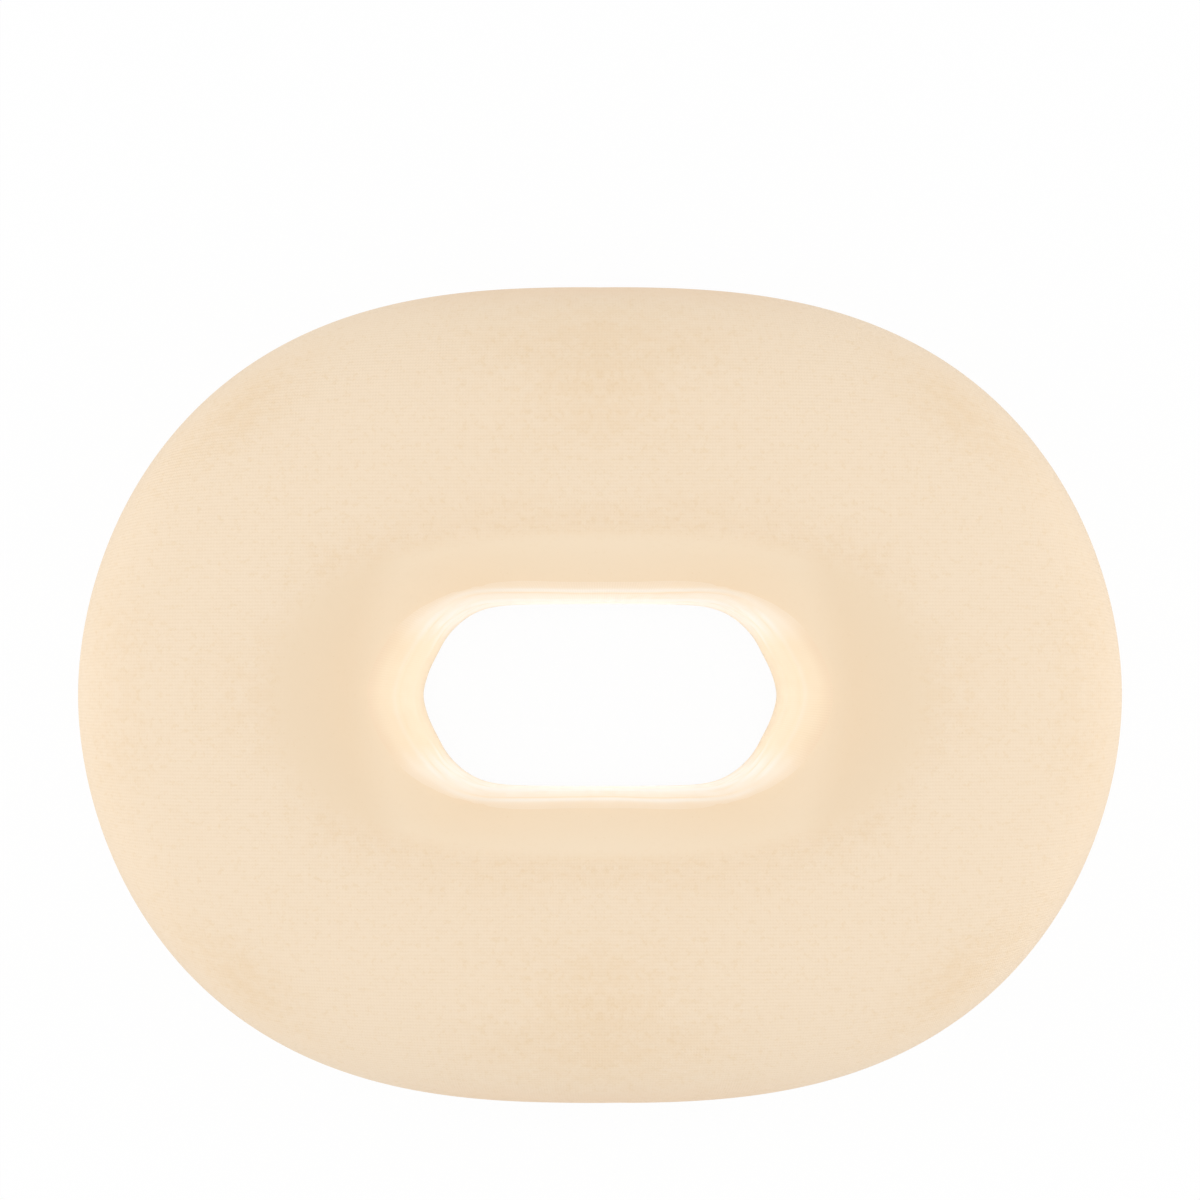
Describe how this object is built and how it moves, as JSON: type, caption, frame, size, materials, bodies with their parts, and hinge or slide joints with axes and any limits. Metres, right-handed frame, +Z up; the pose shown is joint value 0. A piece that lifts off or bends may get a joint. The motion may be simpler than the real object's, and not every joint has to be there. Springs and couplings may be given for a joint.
{
  "type": "face cradle cushion",
  "caption": "Closed oval foam face cushion with a long face hole, a removable knitted cover that opens on a circular base zip, and loop strips underneath.",
  "frame": {"origin": "on the resting surface, under the middle of the face hole", "axes": "+Z up through the face hole, X along the cushion's long side, +Y to its back, where the two ends of the zip meet"},
  "size_m": [0.36, 0.281, 0.08],
  "materials": {
    "support_foam": "open-cell firm foam",
    "comfort_foam": "fine-cell memory foam",
    "stockinette": "thin plain knit",
    "cover_knit": "matt fine knit with level courses",
    "sleeve_knit": "smooth paler knit",
    "base_fabric": "matt close weave",
    "binding": "ribbed tape",
    "zip_tape": "herringbone tape",
    "zip_coil": "moulded nylon",
    "zip_metal": "nickel-plated zinc",
    "loop_pile": "short looped pile"
  },
  "bodies": {
    "cushion": {"foam_support_layer": "support_foam", "foam_comfort_layer": "comfort_foam", "foam_liner": "stockinette", "cover_crown": "cover_knit", "hole_sleeve": "sleeve_knit", "base_outer_panel": "base_fabric", "base_inner_panel": "base_fabric", "outer_seam_binding": "binding", "hole_seam_binding": "binding", "zip_tape_outer": "zip_tape", "zip_tape_inner": "zip_tape", "zip_coil_outer": "zip_coil", "zip_coil_inner": "zip_coil", "zip_retainer_box": "zip_coil", "zip_insertion_pin": "zip_coil", "zip_top_stops": "zip_metal", "loop_strip_left": "loop_pile", "loop_strip_right": "loop_pile", "loop_strip_front": "loop_pile", "loop_strip_back": "loop_pile"},
    "slider": {"zip_slider": "zip_metal"},
    "pull": {"zip_pull": "zip_metal"}
  },
  "joints": [
    {"name": "zip_slide", "type": "hinge", "parent": "cushion", "child": "slider", "pos_m": [0, 0, 0.0054], "axis": [0, 0, 1], "range_deg": [-345, 0]},
    {"name": "pull_swing", "type": "hinge", "parent": "slider", "child": "pull", "pos_m": [0.01385, 0.09552, 0.0024], "axis": [0.123, 0.9924, 0], "range_deg": [0, 170]}
  ]
}
